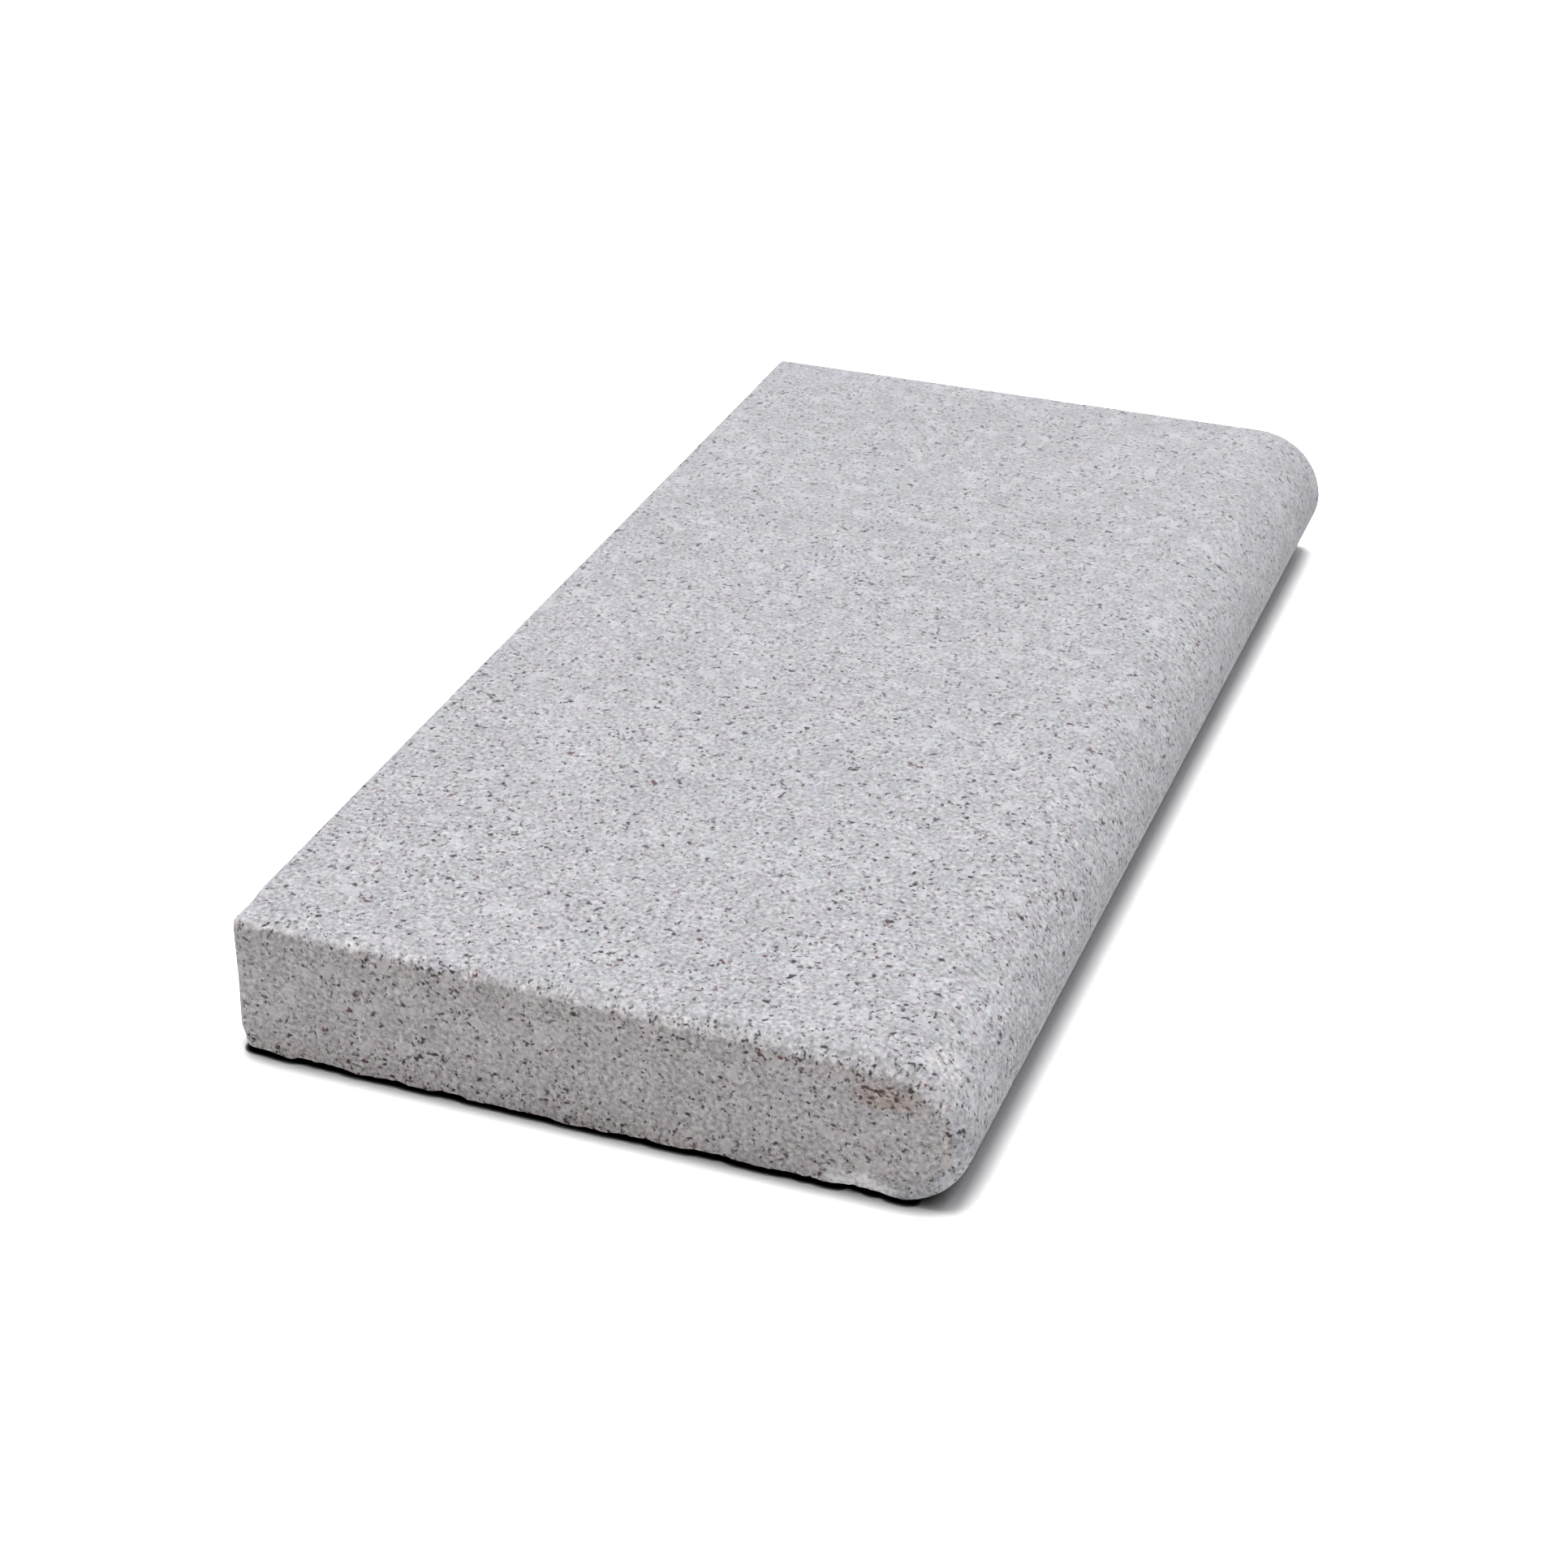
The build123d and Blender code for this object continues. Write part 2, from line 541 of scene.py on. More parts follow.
# %% [markdown]
# The walking face and the nose were roughened, which makes their grains paler and cooler. The ends and
# the back are as the saw left them. A second material for the sawn faces would give a border as straight
# as the quads. So each point of the mesh gets a number instead: how many millimetres it lies inside the
# roughened finish, or below zero, how far outside it. At the near end that finish reaches over the worn
# arris, and further down by the nose. The torn foot of a sawn face is as close to the bed as to the face,
# so it is pushed over to the sawn side.

# %% Roughened and sawn
FINISH_DROP, NOSE_FINISH_DROP = 2.2 * MM, 6.2 * MM  # how far over the arris, at the back and by the nose
FINISH_WOBBLE = 0.75 * MM  # to either side
FINISH_LUMPS = (7 * MM, 51)
DROP_END = (18 * MM, 11 * MM)  # depths below the top at which the drop counts for nothing, and in full
FOOT_SAWN = 8 * MM  # how far the foot is pushed over
FOOT_HEIGHT = (24 * MM, 12 * MM)
FOOT_END = (12 * MM, -6 * MM)  # from the start of the nose
BED_HEIGHT = 2 * MM
BED_FINISH = -2.0  # sawn, in millimetres
FINISH_LIMIT = 4.0

width, height = points[:, 0], points[:, 2]
rim, back, near, far = (np.maximum(depth, 0) for depth in depths(points))
drop = between(FINISH_DROP, NOSE_FINISH_DROP, across_flat(points))
wobble = between(-FINISH_WOBBLE, FINISH_WOBBLE, lumps(points, *FINISH_LUMPS))
near_border = near - rim + (drop + wobble) * soft_step(rim, *DROP_END)
at_foot = soft_step(height, *FOOT_HEIGHT) * soft_step(width - NOSE_START_X, *FOOT_END)
inside = np.minimum(np.minimum(near_border, far - rim), back - rim) - FOOT_SAWN * at_foot
on_bed = (height < BED_Z + BED_HEIGHT) & (width < NOSE_START_X)
roughened = np.where(on_bed, BED_FINISH, np.clip(inside / MM, -FINISH_LIMIT, FINISH_LIMIT))
print("points on roughened faces:", int((roughened > 0).sum()), "of", len(points))

# %% [markdown]
# The worn arris of the near end is paler than the stone. Partly its grains are crushed white, and partly
# it is painted light, which keeps this forward-facing arris as bright as the top. A knock has crushed the
# grains at the near corner of the nose, and at the foot next to it a flake came off and left a pale patch
# with no mica.
# They could be painted by hand, but each fades into the stone round it at a known distance. So they are
# shares from 0 to 1 made of soft steps, with lumps to fray their edges.

# %% Bruises, painted light on the near arris, and breaks
BRUISE_AND_LIGHT_IN = (4.5 * MM, 0.8 * MM)  # from the near end: where the bruise and its painted light have ended, and where they are full
BRUISE_AND_LIGHT_DOWN = (4 * MM, 1 * MM)  # the same, below the border of the finish
BRUISE_AND_LIGHT_HEIGHT = (34 * MM, 54 * MM)  # where it begins on the nose, and where it is full
BRUISE_AND_LIGHT_LUMPS = (6 * MM, 53)
BRUISE_AND_LIGHT_LEAST = 0.4
KNOCK_PLACE, KNOCK_SIZE = (136 * MM, NEAR_Y + 14 * MM, 56 * MM), (9 * MM, 11 * MM, 8 * MM)
KNOCK_LUMPS = (5 * MM, 56)
KNOCK_EDGE = (1.4, 0.7)  # in half sizes: where the spot has ended, and where it is full
KNOCK_SHARE = 0.45
BREAK_PLACE, BREAK_SIZE = (107 * MM, NEAR_Y, 4 * MM), (17 * MM, 6 * MM, 6 * MM)
BREAK_FRAY_LUMPS = (5 * MM, 55)
BREAK_EDGE = (1.4, 0.8)
FRAY = 0.5


def half_sizes_away(place, half_size):
    """How far each point is from the middle of a spot, counted in the spot's half sizes."""
    return np.linalg.norm((points - place) / half_size, axis=1)


# The band on the near arris is partly crushed grains and partly painted light: it is made paler so that it
# faces forward yet looks as bright as the top.
bruised_and_painted_light = soft_step(near, *BRUISE_AND_LIGHT_IN) * soft_step(rim - drop, *BRUISE_AND_LIGHT_DOWN)
bruised_and_painted_light = bruised_and_painted_light * between(BRUISE_AND_LIGHT_LEAST, 1, lumps(points, *BRUISE_AND_LIGHT_LUMPS))
bruised_and_painted_light = bruised_and_painted_light * soft_step(height, *BRUISE_AND_LIGHT_HEIGHT)
from_knock = half_sizes_away(KNOCK_PLACE, KNOCK_SIZE) + FRAY * lumps(points, *KNOCK_LUMPS)
bruised_and_painted_light = np.maximum(bruised_and_painted_light, KNOCK_SHARE * soft_step(from_knock, *KNOCK_EDGE))
from_break = half_sizes_away(BREAK_PLACE, BREAK_SIZE) + FRAY * lumps(points, *BREAK_FRAY_LUMPS)
foot_break = soft_step(from_break, *BREAK_EDGE)
print("points bruised:", int((bruised_and_painted_light > 0).sum()), "and broken at the foot:", int((foot_break > 0).sum()))

# %% [markdown]
# Under the worn arris water has left a faint beige stain, and by the nose a rusty spot. A stain runs down,
# so its patches are drawn out that way. Both are shares like the bruise and its painted light, measured
# from the same border, so that the stain starts where they end.

# %% Stain and rust
STAIN_IN = (4 * MM, 1 * MM)  # from the near end
STAIN_DOWN = (14 * MM, 0)  # below the border of the finish
STAIN_SQUEEZE = (1, 1, 0.5)
STAIN_LUMPS = (18 * MM, 54)
STAIN_PATCHES = (0.2, 0.75)  # lumps below the first aren't stained, and past the second fully
RUST_PLACE, RUST_SIZE = (118 * MM, NEAR_Y, 46 * MM), (17 * MM, 5 * MM, 8 * MM)
RUST_EDGE = (1.2, 0.3)

stained = soft_step(near, *STAIN_IN) * soft_step(rim - drop, *STAIN_DOWN)
stained = stained * soft_step(lumps(points * STAIN_SQUEEZE, *STAIN_LUMPS), *STAIN_PATCHES)
rusty = soft_step(half_sizes_away(RUST_PLACE, RUST_SIZE), *RUST_EDGE)
print("points stained:", int((stained > 0).sum()), "and rusty:", int((rusty > 0).sum()))

# %% [markdown]
# The five shares have to get from these arrays to the material. Vertex colours would hold three of them,
# rounded to colours. A named attribute for each keeps its full value, below zero too, and the material
# asks for it by name.

# %% Shares on the mesh
finishes = {"roughened": roughened, "bruised_and_painted_light": bruised_and_painted_light, "stained": stained, "rusty": rusty}
finishes["foot_break"] = foot_break
for name, share in finishes.items():
    attribute = stone_mesh.attributes.new(name, "FLOAT", "POINT")
    attribute.data.foreach_set("value", share.astype(np.float32))
    print(name, "from", round(float(share.min()), 2), "to", round(float(share.max()), 2))

# %% [markdown]
# Granite is a tight mosaic of white feldspar, glassy grey quartz and black mica. A picture could be
# wrapped round the stone, but then the grains would not go through it. Solid textures are closer to the
# real thing: they fill space, so a grain that is cut by an arris shows on both faces. The recipe is long,
# so a few small helpers add its nodes. The first ones do sums on shares and mix colours.

# %% Sums and mixes
granite = bpy.data.materials.new("granite")
granite.use_nodes = True
stone_mesh.materials.append(granite)
recipe = granite.node_tree
recipe.nodes.clear()
MIX_FIRST, MIX_SECOND, MIX_RESULT = 6, 7, 2  # the colour sockets of a Mix node
RANGE_SOCKETS = ("Value", "From Min", "From Max", "To Min", "To Max")


def feed(socket, value):
    """Links another node's output to a socket, or sets the socket to a plain value."""
    if isinstance(value, bpy.types.NodeSocket):
        socket.id_data.links.new(value, socket)
    else:
        socket.default_value = value


def reckon(operation, *values, tree=recipe):
    """A sum on shares: ADD, MULTIPLY, MAXIMUM and so on."""
    node = tree.nodes.new("ShaderNodeMath")
    node.operation = operation
    for socket, value in zip(node.inputs, values):
        feed(socket, value)
    return node.outputs[0]


def rise(value, low, high, bottom=0.0, top=1.0, way="SMOOTHSTEP"):
    """A rise from bottom to top while the value goes from low to high."""
    node = recipe.nodes.new("ShaderNodeMapRange")
    node.interpolation_type = way
    for name, number in zip(RANGE_SOCKETS, (value, low, high, bottom, top)):
        feed(node.inputs[name], number)
    return node.outputs["Result"]


def blend(share, first, second, kind="MIX"):
    """Two colours mixed by a share."""
    node = recipe.nodes.new("ShaderNodeMix")
    node.data_type = "RGBA"
    node.blend_type = kind
    feed(node.inputs[0], share)
    feed(node.inputs[MIX_FIRST], first)
    feed(node.inputs[MIX_SECOND], second)
    return node.outputs[MIX_RESULT]


print("an empty recipe for granite:", len(recipe.nodes), "nodes")

# %% [markdown]
# The other helpers make the textures. Nearly every part of granite is a patch of some size with a soft
# edge, so clouds of noise make most of it. They are asked at a place on the stone, and a place can be
# moved, turned or squeezed first. Sizes are lengths on the stone, in metres.

# %% Clouds and places
CLOUD_MIDDLE = 0.5
CLOUD_LOW, CLOUD_HIGH = 0.25, 0.75  # nearly all of a cloud lies between these


def cloud(where, size, detail=1.0, part="Fac"):
    """Soft patches of that size, as a share or as a colour."""
    node = recipe.nodes.new("ShaderNodeTexNoise")
    feed(node.inputs["Vector"], where)
    node.inputs["Scale"].default_value = 1 / size
    node.inputs["Detail"].default_value = detail
    return node.outputs[part]


def spread(patches, bottom, top):
    """A cloud stretched to run from bottom to top."""
    return rise(patches, CLOUD_LOW, CLOUD_HIGH, bottom, top, "LINEAR")


def moved(where, operation, amount):
    """A place or a colour after a sum on its three parts."""
    node = recipe.nodes.new("ShaderNodeVectorMath")
    node.operation = operation
    feed(node.inputs[0], where)
    feed(node.inputs["Scale"] if operation == "SCALE" else node.inputs[1], amount)
    return node.outputs[0]


def turned(where, turn, squeeze):
    """A place turned and squeezed, so that the grains there come out slanted and long."""
    node = recipe.nodes.new("ShaderNodeMapping")
    feed(node.inputs["Vector"], where)
    node.inputs["Rotation"].default_value = turn
    node.inputs["Scale"].default_value = squeeze
    return node.outputs["Vector"]


def share_of(name):
    """A finish share that the mesh carries."""
    node = recipe.nodes.new("ShaderNodeAttribute")
    node.attribute_name = name
    return node.outputs["Fac"]


place = recipe.nodes.new("ShaderNodeTexCoord").outputs["Object"]
print("places on the stone come from", place.name, "coordinates")

# %% [markdown]
# The finish says how strongly the grains show. A sawn face shows them best, and on a roughened face they
# are a little veiled by bruising. Seen from the near end they also run together with distance, so they
# are made to show less strongly towards the far end. The border between the two finishes is broken by
# single grains that are finer than the mesh. So the share from the mesh is moved by a fine cloud before
# it is turned into one finish or the other.

# %% Where the grains show best
SPECKLE = 1.9 * MM
BORDER_BREAKS = 9.0  # how far single grains break the border, in millimetres
BORDER_SOFT = 0.5  # millimetres to either side
SAWN_CLEAR = 1.32
NEAR_CLEAR, FAR_CLEAR = 1.22, 0.58  # how clear the roughened grains are at the two ends

speckle = cloud(place, SPECKLE)
border_shift = reckon("MULTIPLY", reckon("SUBTRACT", speckle, CLOUD_MIDDLE), BORDER_BREAKS)
sawn_share = rise(reckon("ADD", share_of("roughened"), border_shift), BORDER_SOFT, -BORDER_SOFT)
along_stone = recipe.nodes.new("ShaderNodeSeparateXYZ")
feed(along_stone.inputs[0], place)
roughened_clear = rise(along_stone.outputs["Y"], NEAR_Y, FAR_Y, NEAR_CLEAR, FAR_CLEAR, "LINEAR")
clearness = rise(sawn_share, 0.0, 1.0, roughened_clear, SAWN_CLEAR)
print("clearness of the grains from", FAR_CLEAR, "to", SAWN_CLEAR)

# %% [markdown]
# Next the pale mosaic. Feldspar and quartz differ little in this stone, and from a step away their
# grains run into each other. So the ground is a fine cloud between a dull and a pale grey, broken up by
# cells, which are what gives it crystal edges. The place is made to wander by less than a millimetre
# before the cells are drawn, because straight-sided cells look like tile.

# %% Feldspar and quartz
GRAIN = 1.4 * MM
GRAIN_WEIGHT = 0.30
GROUND = 2.0 * MM
GROUND_DULL = (0.300, 0.300, 0.300, 1)
GROUND_PALE = (0.860, 0.860, 0.860, 1)
WANDER = 1.1 * MM  # half of it to either side
WANDER_PATCH = 1.6 * MM

astray = cloud(place, WANDER_PATCH, detail=0.0, part="Color")
astray = moved(astray, "SUBTRACT", (CLOUD_MIDDLE,) * 3)
wandering = moved(place, "ADD", moved(astray, "SCALE", WANDER))
grain = recipe.nodes.new("ShaderNodeTexVoronoi")
feed(grain.inputs["Vector"], wandering)
grain.inputs["Scale"].default_value = 1 / GRAIN
ground = spread(cloud(place, GROUND, detail=2.0), -CLOUD_MIDDLE, CLOUD_MIDDLE - GRAIN_WEIGHT)
ground = reckon("MULTIPLY_ADD", grain.outputs["Color"], GRAIN_WEIGHT, ground)
mosaic = blend(reckon("MULTIPLY_ADD", ground, clearness, CLOUD_MIDDLE), GROUND_DULL, GROUND_PALE)
print("mosaic of", round(GRAIN / MM, 1), "mm grains")

# %% [markdown]
# Here and there the feldspar grew in larger crystals. On the stone these are whitish patches of half a
# centimetre, with soft edges and hardly any mica in them. Cells would give them hard edges. The tops of a
# wider cloud make them instead, and the same cloud lets the whole ground run from paler to duller between
# the patches.

# %% Large pale crystals
CRYSTAL_SPACING = 9 * MM
CRYSTAL_TOPS = (0.60, 0.68)  # where the cloud begins to be a crystal, and where it is one
CRYSTAL_PALE = (0.66, 0.66, 0.665, 1)
CRYSTAL_WEIGHT = 0.55
PATCHY = 0.12  # how much paler or duller the ground gets

patches = cloud(place, CRYSTAL_SPACING, detail=2.0)
crystal_share = rise(patches, *CRYSTAL_TOPS)
patchy = moved(mosaic, "SCALE", spread(patches, 1 - PATCHY, 1 + PATCHY))
with_crystals = blend(reckon("MULTIPLY", crystal_share, CRYSTAL_WEIGHT), patchy, CRYSTAL_PALE)
print("crystals about", round(CRYSTAL_SPACING / MM), "mm apart")

# %% [markdown]
# Mica makes the pepper, and it isn't spread evenly. It gathers in loose clusters, keeps out of the large
# crystals and of the pale break, and is thicker under the worn arris and in the rust. Its flakes will be
# the tops of fine clouds, so one number rules how much there is: the limit that a cloud has to rise past.
# Here that limit is moved up and down from place to place.

# %% Where mica can be
FLAKE_LIMIT = 0.628
CLUSTER_PULL = 0.12  # from the loosest place to the thickest
CRYSTAL_CLEAR = 0.08
BREAK_CLEAR = 0.20
STAIN_PULL, RUST_PULL = 0.030, 0.045

limit = spread(patches, FLAKE_LIMIT + CLUSTER_PULL / 2, FLAKE_LIMIT - CLUSTER_PULL / 2)
limit_moves = (
    (crystal_share, CRYSTAL_CLEAR + CLUSTER_PULL / 2),
    (share_of("foot_break"), BREAK_CLEAR),
    (share_of("stained"), -STAIN_PULL),
    (share_of("rusty"), -RUST_PULL),
)
for share, move in limit_moves:
    limit = reckon("MULTIPLY_ADD", share, move, limit)
print("limit for mica:", FLAKE_LIMIT, "and", len(limit_moves), "moves of it")

# %% [markdown]
# The flakes are thin plates that lie every way, so a cut face shows dots, dashes and small clusters, most
# of them black and some brown. Cells would make them all alike. Where a cloud rises past the limit they
# differ in size, and many are only half dark. Four clouds with different slants make them lie every way.
# Mica is dark enough to show through a bruise, so it is veiled only half as much as the ground.

# %% Mica flakes
FLAKE_SETS = (  # size, turn about each axis, squeeze along each axis
    (3.8 * MM, (0.4, 0.7, 0.3), (1.0, 1.0, 1.4)),
    (3.3 * MM, (1.2, 0.2, 0.9), (1.0, 1.5, 1.0)),
    (2.7 * MM, (0.1, 1.1, 2.0), (1.3, 1.0, 1.0)),
    (2.1 * MM, (0.8, 0.3, 1.4), (1.1, 1.0, 1.0)),
)
FLAKE_EDGE = 0.17  # how far past the limit a flake is black
MICA_VEIL = 0.5
MICA_CLEAREST = 1.12
MICA_BLACK = (0.055, 0.050, 0.056, 1)
MICA_BROWN = (0.155, 0.085, 0.085, 1)
BROWN_PATCH = 5 * MM
BROWN_TOPS = (0.50, 0.70)
RUSTY_BROWN = 0.5

mica_share = 0.0
for size, turn, squeeze in FLAKE_SETS:
    past_limit = reckon("SUBTRACT", cloud(turned(place, turn, squeeze), size), limit)
    mica_share = reckon("MAXIMUM", mica_share, rise(past_limit, 0.0, FLAKE_EDGE))
mica_clearness = reckon("MULTIPLY_ADD", clearness, MICA_VEIL, 1 - MICA_VEIL)
mica_share = reckon("MULTIPLY", mica_share, reckon("MINIMUM", mica_clearness, MICA_CLEAREST))
brown_share = rise(cloud(place, BROWN_PATCH, detail=0.0), *BROWN_TOPS)
brown_share = reckon("MAXIMUM", brown_share, reckon("MULTIPLY", share_of("rusty"), RUSTY_BROWN))
peppered = blend(mica_share, with_crystals, blend(brown_share, MICA_BLACK, MICA_BROWN))
print(len(FLAKE_SETS), "sets of mica flakes")

# %% [markdown]
# The finishes come over the grains. The roughened faces are a little cooler and the sawn ones a little
# warmer, and no patch of either has quite the colour of the next. A flat wash of colour would hide the
# grains. All tints here scale the colour beneath instead, so the grains show through.

# %% Tints of the finishes
ROUGHENED_TINT = (1.018, 1.010, 1.072, 1)
SAWN_TINT = (1.028, 0.980, 1.000, 1)
TINT_PATCH = 6 * MM
TINT = 0.11  # how much warmer or cooler a small patch may be than the next
WIDE_PATCH = 25 * MM
WIDE_PALE = 0.05  # how much paler or duller a wide patch may be

tinted = blend(1.0, peppered, blend(sawn_share, ROUGHENED_TINT, SAWN_TINT), "MULTIPLY")
small_tints = moved(cloud(place, TINT_PATCH, detail=2.0, part="Color"), "SCALE", TINT)
tinted = moved(tinted, "MULTIPLY", moved(small_tints, "ADD", (1 - TINT / 2,) * 3))
clouded = moved(tinted, "SCALE", spread(cloud(place, WIDE_PATCH), 1 - WIDE_PALE, 1 + WIDE_PALE))
print("tints in patches of", round(TINT_PATCH / MM), "and", round(WIDE_PATCH / MM), "mm")

# %% [markdown]
# Bruised grains are crushed white one by one. The painted light on the near arris is paler in the same
# grains, so both are broken up by the fine cloud that breaks the border. The break at the foot is paler
# still and has no beige in it. The stain settles in the grains that the bruise leaves out, and the rust in
# the paler patches. Each is scaled by its share from the mesh.

# %% Bruise and painted light, stain and rust
BRUISE_AND_PAINTED_LIGHT = (0.47, 0.41, 0.35)  # how much paler than the stone a crushed grain is, with the painted light on the near arris
BREAK_PALE = (0.62, 0.67, 0.71)
CRUSHED_AND_LIT_GRAINS = (0.36, 0.60)  # speckle below the first is crushed and lit least, and past the second fully
CRUSHED_AND_LIT_LEAST = 0.35
STAIN_BEIGE = (1.01, 0.970, 0.91, 1)
STAINED_GRAINS = (0.65, 0.40)
STAIN_WEIGHT = 0.65
RUST = (0.87, 0.77, 0.71, 1)
RUSTY_PATCHES = (0.35, 0.60)
RUST_LEAST = 0.3

# Painted light: the near arris is paler than the stone so that, though it faces forward, it looks as
# bright as the top. The crushed grains of the bruise and the knock are real.
bruise_and_light_share = reckon("MULTIPLY", share_of("bruised_and_painted_light"), rise(sawn_share, 0.0, 1.0, 1.0, 0.0))
bruise_and_light_share = reckon("MULTIPLY", bruise_and_light_share, rise(speckle, *CRUSHED_AND_LIT_GRAINS, CRUSHED_AND_LIT_LEAST, 1.0))
bruise_and_light = moved(BRUISE_AND_PAINTED_LIGHT, "SCALE", bruise_and_light_share)
break_at_foot = moved(BREAK_PALE, "SCALE", share_of("foot_break"))
paler = moved(moved(bruise_and_light, "ADD", break_at_foot), "ADD", (1, 1, 1))
crushed_and_lit = moved(clouded, "MULTIPLY", paler)
stain_share = reckon("MULTIPLY", sawn_share, rise(speckle, *STAINED_GRAINS, 0.0, STAIN_WEIGHT))
stain_share = reckon("MULTIPLY", share_of("stained"), stain_share)
beige = blend(stain_share, crushed_and_lit, STAIN_BEIGE, "MULTIPLY")
rust_share = reckon("MULTIPLY", share_of("rusty"), rise(patches, *RUSTY_PATCHES, RUST_LEAST, 1.0))
rust_share = reckon("MULTIPLY", rust_share, sawn_share)
stone_colour = blend(rust_share, beige, RUST, "MULTIPLY")
print("granite recipe so far:", len(recipe.nodes), "nodes")

# %% [markdown]
# A broken grain of granite is dull, and a flake of mica shines a little. Pits that are finer than the
# mesh could be carved only with millions of quads, so they are bump: one fine cloud, shallower on the
# sawn faces. Bump reckons its cloud three times for every ray, so it has a plain one of its own.

# %% Gloss and bump
ROUGH_STONE = 0.85
ROUGH_MICA = 0.5
STONE_SHINE = 0.3
PIT = 1.1 * MM
PIT_DEPTH = 0.4 * MM
SAWN_PITS = 0.6  # share of that depth on the sawn faces

shader = recipe.nodes.new("ShaderNodeBsdfPrincipled")
surface = recipe.nodes.new("ShaderNodeOutputMaterial")
feed(surface.inputs["Surface"], shader.outputs["BSDF"])
feed(shader.inputs["Base Color"], stone_colour)
feed(shader.inputs["Roughness"], rise(mica_share, 0.0, 1.0, ROUGH_STONE, ROUGH_MICA))
shader.inputs["Specular IOR Level"].default_value = STONE_SHINE
pits = reckon("MULTIPLY", cloud(place, PIT, detail=2.0), rise(sawn_share, 0.0, 1.0, 1.0, SAWN_PITS))
bump = recipe.nodes.new("ShaderNodeBump")
bump.inputs["Distance"].default_value = PIT_DEPTH
feed(bump.inputs["Height"], pits)
feed(shader.inputs["Normal"], bump.outputs["Normal"])
print("granite recipe:", len(recipe.nodes), "nodes")

# %% [markdown]
# The stone lies on plain white paper. One large quad would do for it, but the paper close to the stone
# takes a dearer material, which looks for stone above it and paints the stone's shadow into the paper. So
# the floor is a ring of four quads round an inner one that reaches a few centimetres past the stone, and
# only the inner one has that material.

# %% Paper on the floor
FLOOR_REACH = 12.0  # metres each way
PAINTED_SHADOW_STRIP = 40 * MM  # paper round the stone where the stone's shadow is painted
CORNERS = 4
PAPER_WITH_PAINTED_SHADOW = 1  # place of its material in the mesh


def rectangle(low_x, low_y, high_x, high_y):
    """Four corners on the floor, turning to the left."""
    return [(low_x, low_y, 0), (high_x, low_y, 0), (high_x, high_y, 0), (low_x, high_y, 0)]


outer = rectangle(-FLOOR_REACH, -FLOOR_REACH, FLOOR_REACH, FLOOR_REACH)
strip_low = (BACK_X - PAINTED_SHADOW_STRIP, NEAR_Y - PAINTED_SHADOW_STRIP)
strip_high = (NOSE_X + PAINTED_SHADOW_STRIP, FAR_Y + PAINTED_SHADOW_STRIP)
inner = rectangle(*strip_low, *strip_high)
paper_quads = []
for corner in range(CORNERS):
    following = (corner + 1) % CORNERS
    paper_quads.append((corner, following, following + CORNERS, corner + CORNERS))
paper_quads.append(tuple(range(CORNERS, 2 * CORNERS)))
floor_mesh = bpy.data.meshes.new("floor")
floor_mesh.from_pydata(outer + inner, [], paper_quads)
floor_mesh.polygons[CORNERS].material_index = PAPER_WITH_PAINTED_SHADOW
floor = bpy.data.objects.new("floor", floor_mesh)
bpy.context.scene.collection.objects.link(floor)
print("paper:", FLOOR_REACH, "m each way in", len(paper_quads), "quads")

# %% [markdown]
# In a studio the paper lights the stone from below and is itself exposed to white. More light would make
# it white too, but would wash out the stone. So paper and backdrop each have two shaders: one gives
# light as a plain white surface does, and the other is what the eye sees, straight on, in a mirror or
# through glass. The kind of ray chooses between them.

# %% One shader to the eye and one to the stone
def by_ray(tree, given, seen, output):
    """Shows one shader to the eye, also in mirrors and through glass, and gives light by the other."""
    ray = tree.nodes.new("ShaderNodeLightPath")
    share = ray.outputs["Is Camera Ray"]
    for kind in ("Is Glossy Ray", "Is Transmission Ray"):
        share = reckon("MAXIMUM", share, ray.outputs[kind], tree=tree)
    mix = tree.nodes.new("ShaderNodeMixShader")
    for socket, source in zip(mix.inputs, (share, given.outputs[0], seen.outputs[0])):
        feed(socket, source)
    feed(output.inputs["Surface"], mix.outputs[0])


print("rays of the eye see one shader, rays of light the other")

# %% [markdown]
# The paper gives back nearly all the light that falls on it, which is what lights the ends and the
# underside of the nose. To the eye it is exposed past white, so that only the shadow shows on it. Light
# hardly reaches the gap under a torn edge, and a lamp alone leaves that gap too pale once the paper is
# exposed so. Therefore a shadow is painted into the paper by the stone: its colour, as the eye sees it, is
# darkened by how much stone stands close above it. A short look paints the black line under the torn
# edges, a longer one the dark wedge under the nose, and the longest the soft shade round the whole stone.

# %% White paper, with a painted shadow by the stone
PAPER_BOUNCE = 0.92
PAPER_SEEN = 2.82  # exposure of the paper to the eye
PAINTED_CONTACT_SHADOWS = (  # for each painted shadow: how far off stone is looked for, how much it darkens and how many looks that takes
    (3.0 * MM, 9.0, 16),
    (8 * MM, 1.3, 8),
    (30 * MM, 1.35, 4),
)


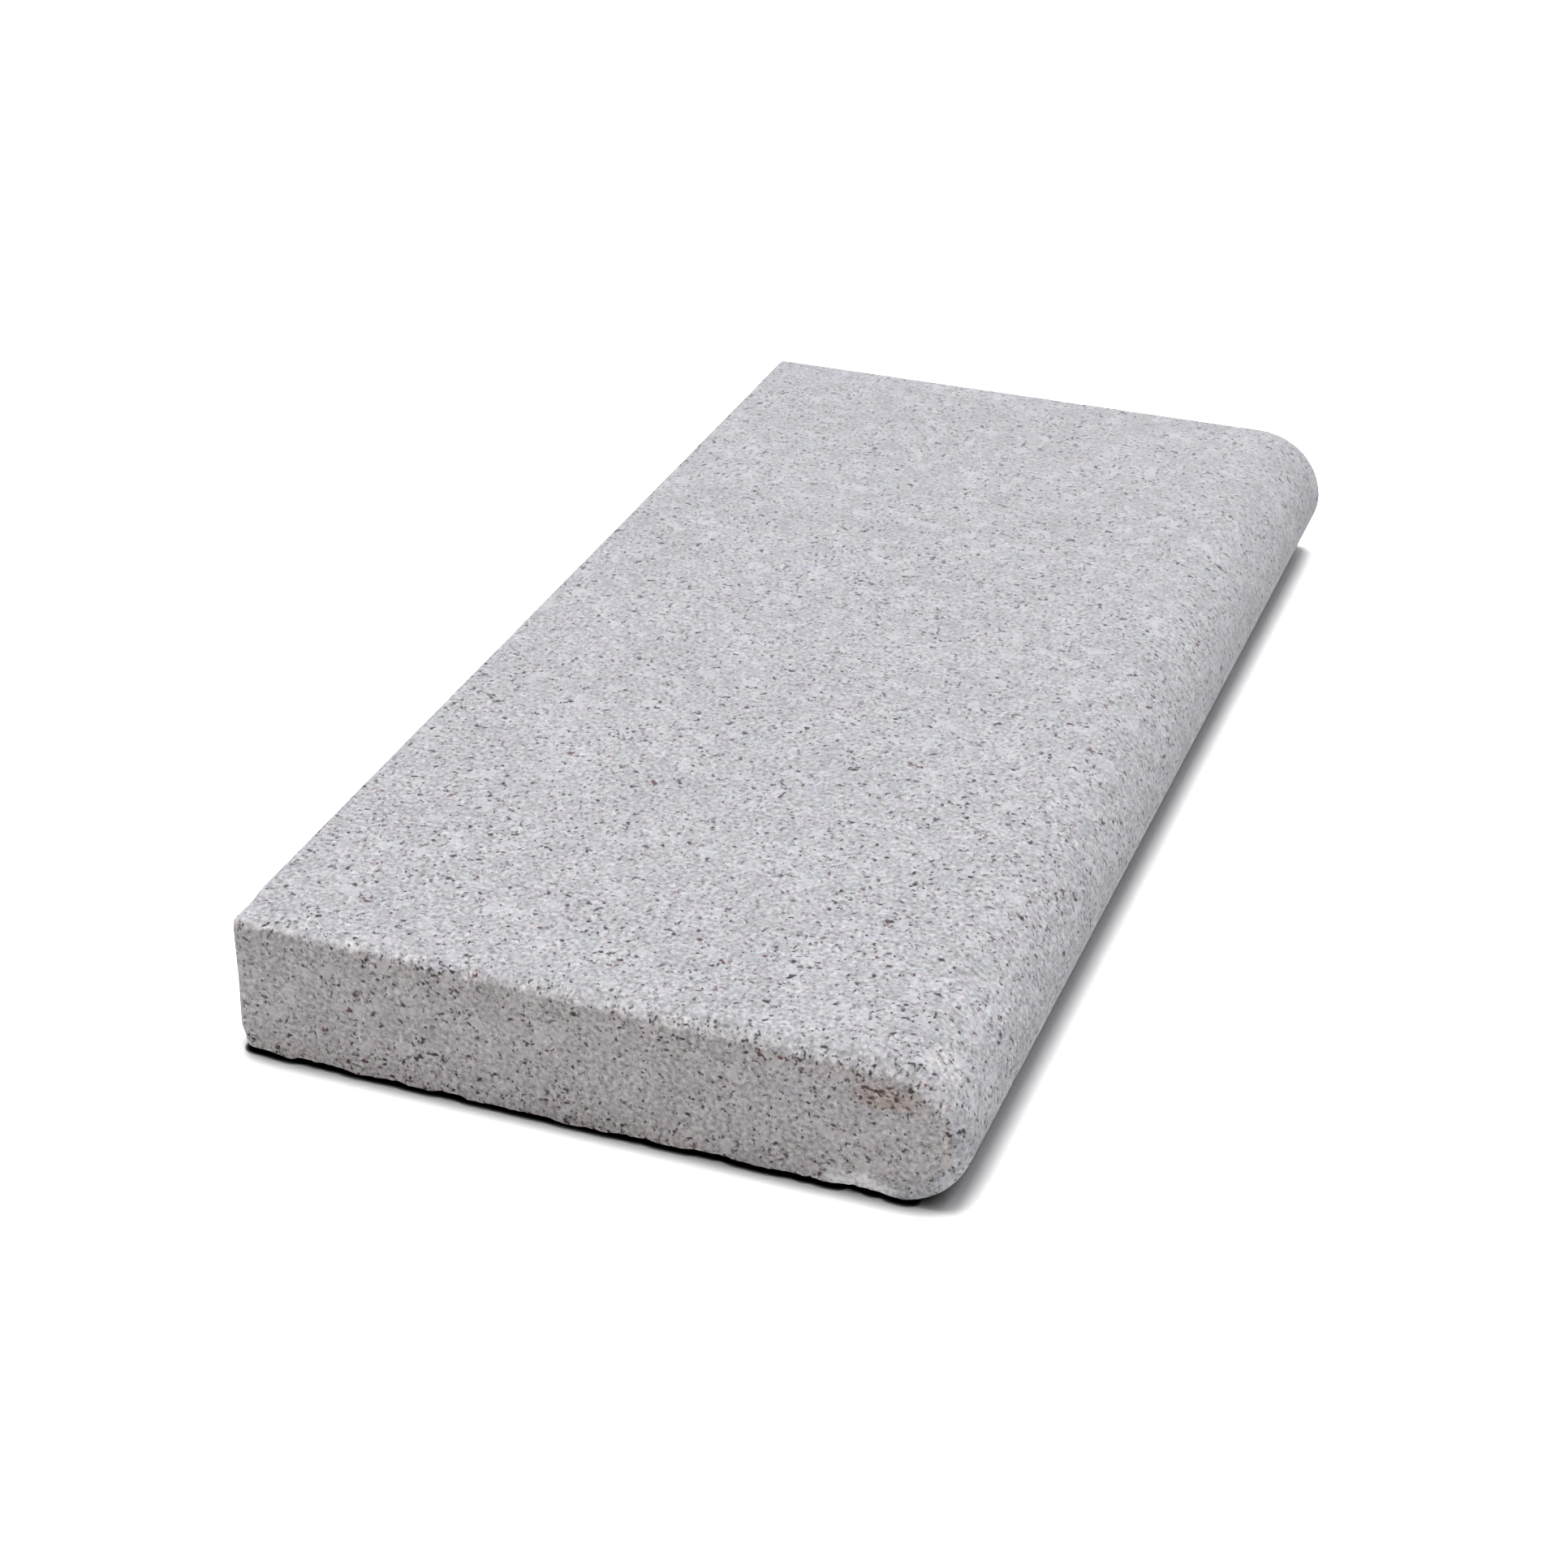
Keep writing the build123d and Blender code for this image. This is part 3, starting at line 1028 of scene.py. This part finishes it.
def white_paper(name, painted_shadows):
    """Paper with a shadow painted into its colour where stone stands close above it."""
    paper = bpy.data.materials.new(name)
    paper.use_nodes = True
    tree = paper.node_tree
    tree.nodes.clear()
    given = tree.nodes.new("ShaderNodeBsdfDiffuse")
    given.inputs["Color"].default_value = (PAPER_BOUNCE, PAPER_BOUNCE, PAPER_BOUNCE, 1)
    straight_on = tree.nodes.new("ShaderNodeLightPath").outputs["Is Camera Ray"]
    exposure_and_painted_shadow = reckon("MULTIPLY_ADD", straight_on, PAPER_SEEN - 1, 1.0, tree=tree)
    # Painted shadow: to the eye, the paper's colour is darkened where stone stands close above it.
    for reach, power, looks in painted_shadows:
        painted_shade_ao = tree.nodes.new("ShaderNodeAmbientOcclusion")
        painted_shade_ao.samples = looks
        painted_shade_ao.inputs["Distance"].default_value = reach
        painted_darkening = reckon("POWER", painted_shade_ao.outputs["AO"], power, tree=tree)
        exposure_and_painted_shadow = reckon("MULTIPLY", exposure_and_painted_shadow, painted_darkening, tree=tree)
    seen = tree.nodes.new("ShaderNodeBsdfDiffuse")
    feed(seen.inputs["Color"], exposure_and_painted_shadow)
    by_ray(tree, given, seen, tree.nodes.new("ShaderNodeOutputMaterial"))
    return paper


floor_mesh.materials.append(white_paper("white_paper", ()))
floor_mesh.materials.append(white_paper("white_paper_painted_shadow", PAINTED_CONTACT_SHADOWS))
print("papers:", [paper.name for paper in floor_mesh.materials])

# %% [markdown]
# The light is one wide softbox, nearly overhead and a little towards the far end. An area lamp would do,
# but its light falls off along the stone. A sun lamp with a wide disc gives the same soft shadow and an
# even level.

# %% Softbox
SUN_SHARE = 0.76
SUN_TILT = math.radians(7.5)
SUN_WIDTH = math.radians(30)
SUN_SIDE = math.radians(84)  # from the back side towards the far end

flat_part = math.sin(SUN_TILT)
to_the_back = flat_part * math.cos(SUN_SIDE)
towards_light = Vector((-to_the_back, flat_part * math.sin(SUN_SIDE), math.cos(SUN_TILT)))
sun = bpy.data.objects.new("softbox", bpy.data.lights.new("softbox", "SUN"))
sun.data.energy = SUN_SHARE * math.pi / math.cos(SUN_TILT)
sun.data.angle = SUN_WIDTH
sun.rotation_euler = (-towards_light).to_track_quat("-Z", "Y").to_euler()
sun.location = towards_light
bpy.context.scene.collection.objects.link(sun)
print("softbox:", round(sun.data.energy, 2), "watts to the square metre")

# %% [markdown]
# The rest of the light is a faint even glow from the room's white walls. A dome of lamps could give it,
# but the world's background does it with no noise. Together with the softbox it gives a flat upward face
# a light of one, at which a colour renders as it is written. To the eye the background is plain white.

# %% Glow of the room
SKY_SHARE = 0.24

world = bpy.data.worlds.new("studio")
bpy.context.scene.world = world
world.use_nodes = True
room = world.node_tree
room.nodes.clear()
glow = room.nodes.new("ShaderNodeBackground")
glow.inputs["Strength"].default_value = SKY_SHARE
backdrop = room.nodes.new("ShaderNodeBackground")
backdrop.inputs["Strength"].default_value = 1.0
for background in (glow, backdrop):
    background.inputs["Color"].default_value = (1, 1, 1, 1)
by_ray(room, glow, backdrop, room.nodes.new("ShaderNodeOutputWorld"))
print("light on a level face:", round(SUN_SHARE + SKY_SHARE, 2))

# %% [markdown]
# Last, colours are shown as they are, with no film look.

# %% Colours as they are
bpy.context.scene.view_settings.view_transform = "Standard"
